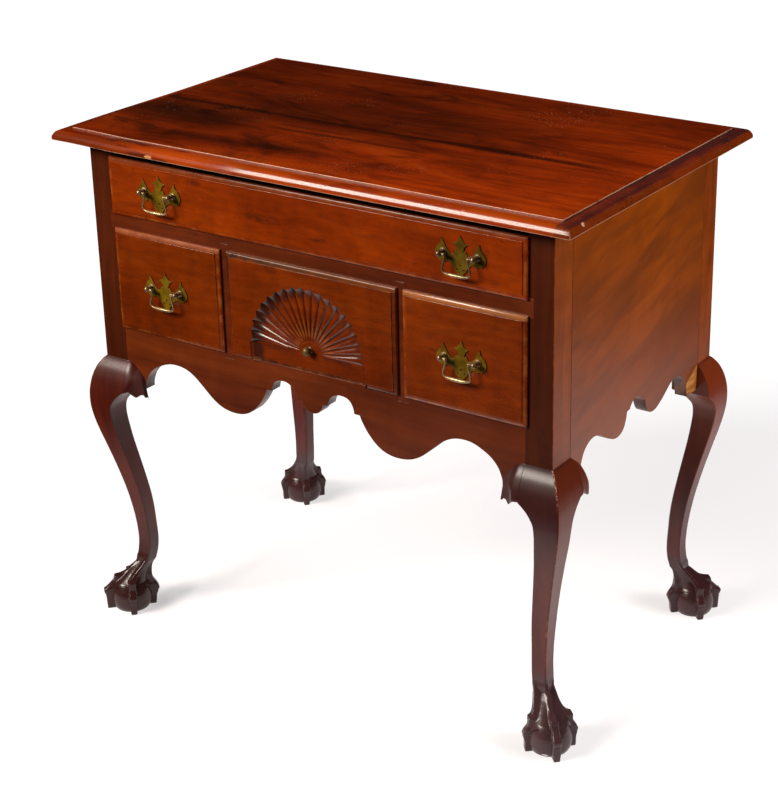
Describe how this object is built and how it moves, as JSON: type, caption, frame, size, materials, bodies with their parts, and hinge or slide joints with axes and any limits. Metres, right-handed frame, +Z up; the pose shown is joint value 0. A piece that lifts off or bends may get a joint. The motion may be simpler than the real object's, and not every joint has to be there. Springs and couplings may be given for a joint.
{
  "type": "lowboy",
  "caption": "Low dressing chest on cabriole legs with claw-and-ball feet, moulded drawer fronts, scrolled apron, carved fan and swinging brass bail pulls.",
  "frame": {"origin": "floor, under the plan centre of the top board", "axes": "+X to the viewer's right along the front, front faces -Y, +Z up"},
  "size_m": [0.8344, 0.5158, 0.762],
  "materials": {
    "top_mahogany": "deep red-brown mahogany, old polished shellac",
    "case_mahogany": "orange-brown mahogany, old polished shellac",
    "side_mahogany": "orange-brown figured mahogany, worn satin shellac",
    "leg_mahogany": "dark purplish-brown mahogany, old polished shellac",
    "secondary_wood": "unfinished softwood, toned by age",
    "aged_brass": "cast brass with an olive-gold patina, rubbed bright on the ridges"
  },
  "bodies": {
    "case": {"top_board": "top_mahogany", "front_left_leg": "leg_mahogany", "front_right_leg": "leg_mahogany", "rear_left_leg": "leg_mahogany", "rear_right_leg": "leg_mahogany", "left_side_panel": "side_mahogany", "right_side_panel": "side_mahogany", "back_panel": "secondary_wood", "front_apron": "case_mahogany", "drawer_rail": "case_mahogany", "top_rail": "case_mahogany", "left_divider": "case_mahogany", "right_divider": "case_mahogany", "left_leg_front_knee_block": "leg_mahogany", "right_leg_front_knee_block": "leg_mahogany", "left_leg_side_knee_block": "leg_mahogany", "right_leg_side_knee_block": "leg_mahogany", "upper_left_runner": "secondary_wood", "upper_right_runner": "secondary_wood", "lower_left_runner": "secondary_wood", "lower_right_runner": "secondary_wood", "lower_left_middle_runner": "secondary_wood", "lower_right_middle_runner": "secondary_wood"},
    "long_drawer": {"long_drawer_front": "case_mahogany", "long_drawer_left_side": "secondary_wood", "long_drawer_right_side": "secondary_wood", "long_drawer_back": "secondary_wood", "long_drawer_bottom": "secondary_wood", "long_drawer_left_pull_plate": "aged_brass", "long_drawer_left_pull_left_post": "aged_brass", "long_drawer_left_pull_right_post": "aged_brass", "long_drawer_right_pull_plate": "aged_brass", "long_drawer_right_pull_left_post": "aged_brass", "long_drawer_right_pull_right_post": "aged_brass"},
    "left_drawer": {"left_drawer_front": "case_mahogany", "left_drawer_left_side": "secondary_wood", "left_drawer_right_side": "secondary_wood", "left_drawer_back": "secondary_wood", "left_drawer_bottom": "secondary_wood", "left_drawer_pull_plate": "aged_brass", "left_drawer_pull_left_post": "aged_brass", "left_drawer_pull_right_post": "aged_brass"},
    "centre_drawer": {"centre_drawer_front": "case_mahogany", "centre_drawer_left_side": "secondary_wood", "centre_drawer_right_side": "secondary_wood", "centre_drawer_back": "secondary_wood", "centre_drawer_bottom": "secondary_wood", "centre_drawer_knob": "aged_brass"},
    "right_drawer": {"right_drawer_front": "case_mahogany", "right_drawer_left_side": "secondary_wood", "right_drawer_right_side": "secondary_wood", "right_drawer_back": "secondary_wood", "right_drawer_bottom": "secondary_wood", "right_drawer_pull_plate": "aged_brass", "right_drawer_pull_left_post": "aged_brass", "right_drawer_pull_right_post": "aged_brass"},
    "long_drawer_left_bail": {"long_drawer_left_pull_bail": "aged_brass"},
    "long_drawer_right_bail": {"long_drawer_right_pull_bail": "aged_brass"},
    "left_drawer_bail": {"left_drawer_pull_bail": "aged_brass"},
    "right_drawer_bail": {"right_drawer_pull_bail": "aged_brass"}
  },
  "joints": [
    {"name": "long_drawer_slide", "type": "slide", "parent": "case", "child": "long_drawer", "axis": [0, -1, 0], "range_m": [0, 0.32]},
    {"name": "left_drawer_slide", "type": "slide", "parent": "case", "child": "left_drawer", "axis": [0, -1, 0], "range_m": [0, 0.32]},
    {"name": "centre_drawer_slide", "type": "slide", "parent": "case", "child": "centre_drawer", "axis": [0, -1, 0], "range_m": [0, 0.32]},
    {"name": "right_drawer_slide", "type": "slide", "parent": "case", "child": "right_drawer", "axis": [0, -1, 0], "range_m": [0, 0.32]},
    {"name": "long_drawer_left_bail_hinge", "type": "hinge", "parent": "long_drawer", "child": "long_drawer_left_bail", "pos_m": [-0.248, -0.2429, 0.6894], "axis": [-1, 0, 0], "range_deg": [-13, 150]},
    {"name": "long_drawer_right_bail_hinge", "type": "hinge", "parent": "long_drawer", "child": "long_drawer_right_bail", "pos_m": [0.2456, -0.2429, 0.69], "axis": [-1, 0, 0], "range_deg": [-13, 150]},
    {"name": "left_drawer_bail_hinge", "type": "hinge", "parent": "left_drawer", "child": "left_drawer_bail", "pos_m": [-0.247, -0.2429, 0.5473], "axis": [-1, 0, 0], "range_deg": [-13, 150]},
    {"name": "right_drawer_bail_hinge", "type": "hinge", "parent": "right_drawer", "child": "right_drawer_bail", "pos_m": [0.2456, -0.2429, 0.548], "axis": [-1, 0, 0], "range_deg": [-13, 150]}
  ]
}
